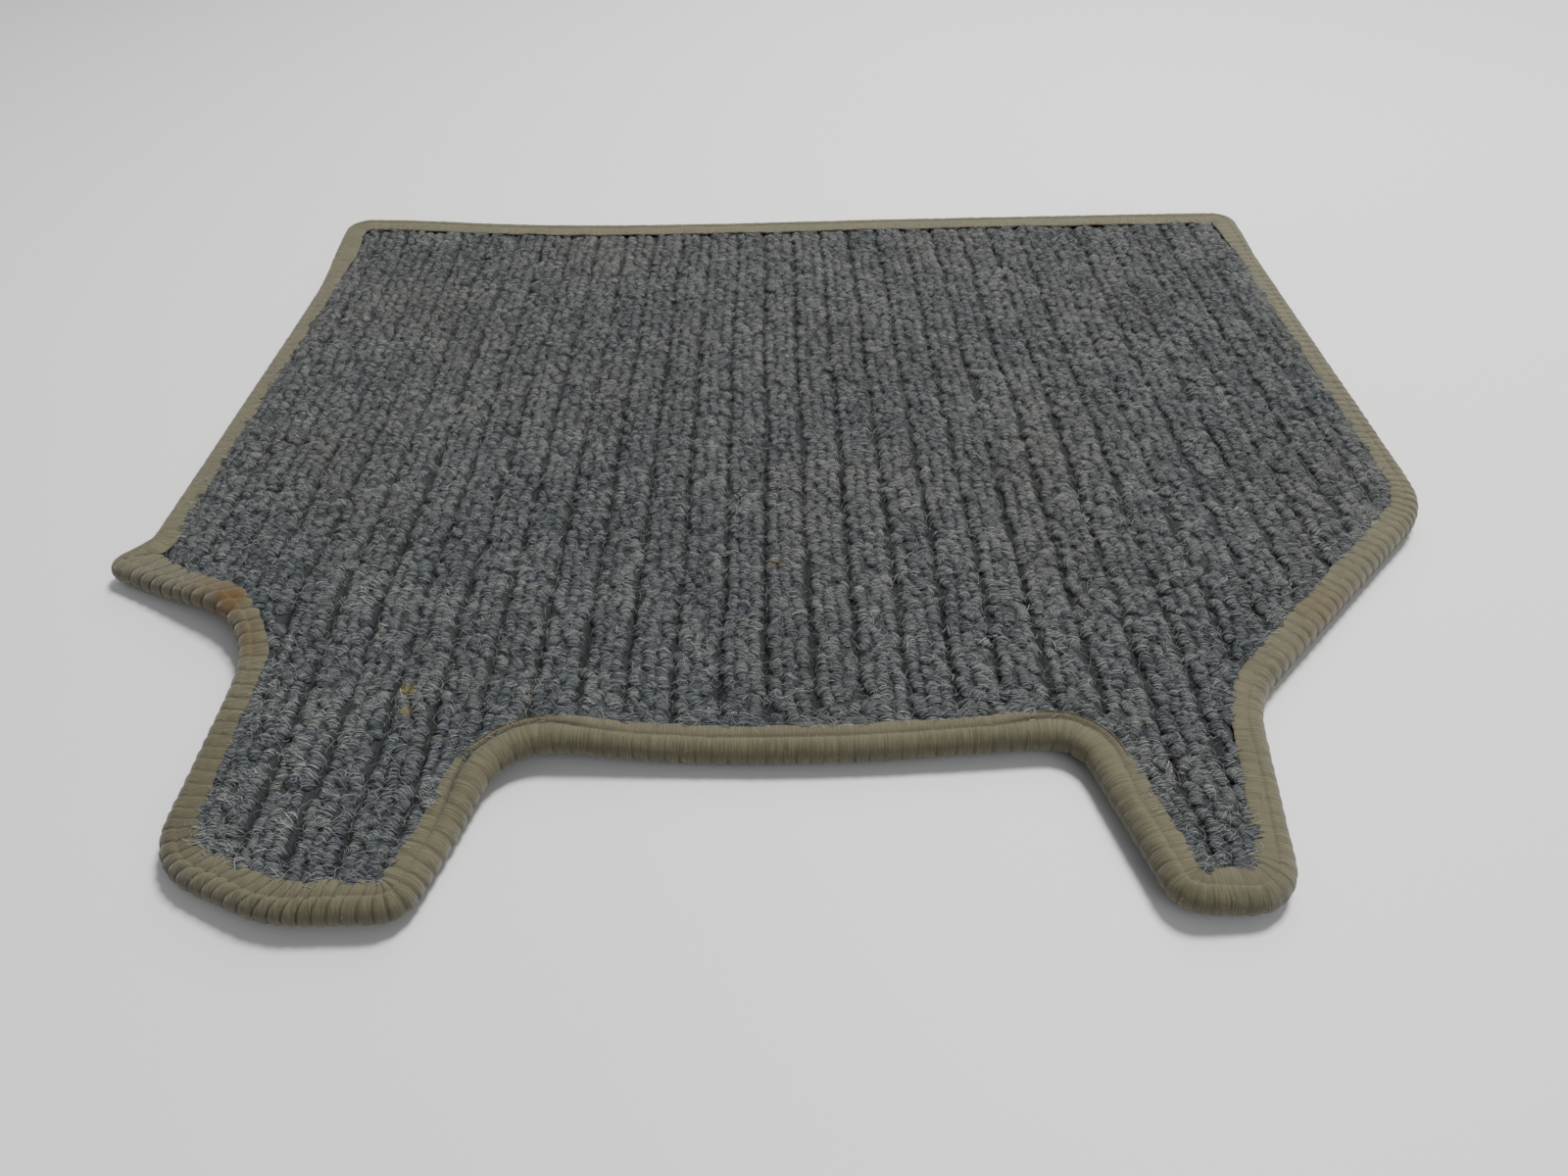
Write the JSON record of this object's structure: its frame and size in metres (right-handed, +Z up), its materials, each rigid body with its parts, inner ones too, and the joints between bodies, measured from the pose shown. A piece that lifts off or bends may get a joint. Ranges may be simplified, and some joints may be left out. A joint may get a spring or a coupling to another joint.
{
  "type": "floor mat",
  "caption": "Shaped carpet footwell mat with ribbed looped pile, a foamed rubber back and a tape-bound edge, with two front legs and a side ear.",
  "frame": {"origin": "on the floor, under the middle of the mat's box", "axes": "+X across the mat to the right, +Y to its straight back edge, +Z up out of the pile"},
  "size_m": [0.4726, 0.432, 0.01],
  "materials": {
    "pile": "coarse looped pile, heather mix of charcoal, blue-grey and pale grey",
    "backing_cloth": "coarse plain weave",
    "foam_rubber": "matt foamed latex, waffle grain",
    "tape": "matt ribbed woven tape",
    "thread": "twisted sewing thread"
  },
  "bodies": {
    "root": {"carpet_pile": "pile", "primary_backing": "backing_cloth", "rubber_backing": "foam_rubber", "binding_tape": "tape", "needle_thread": "thread", "bobbin_thread": "thread"}
  },
  "joints": []
}
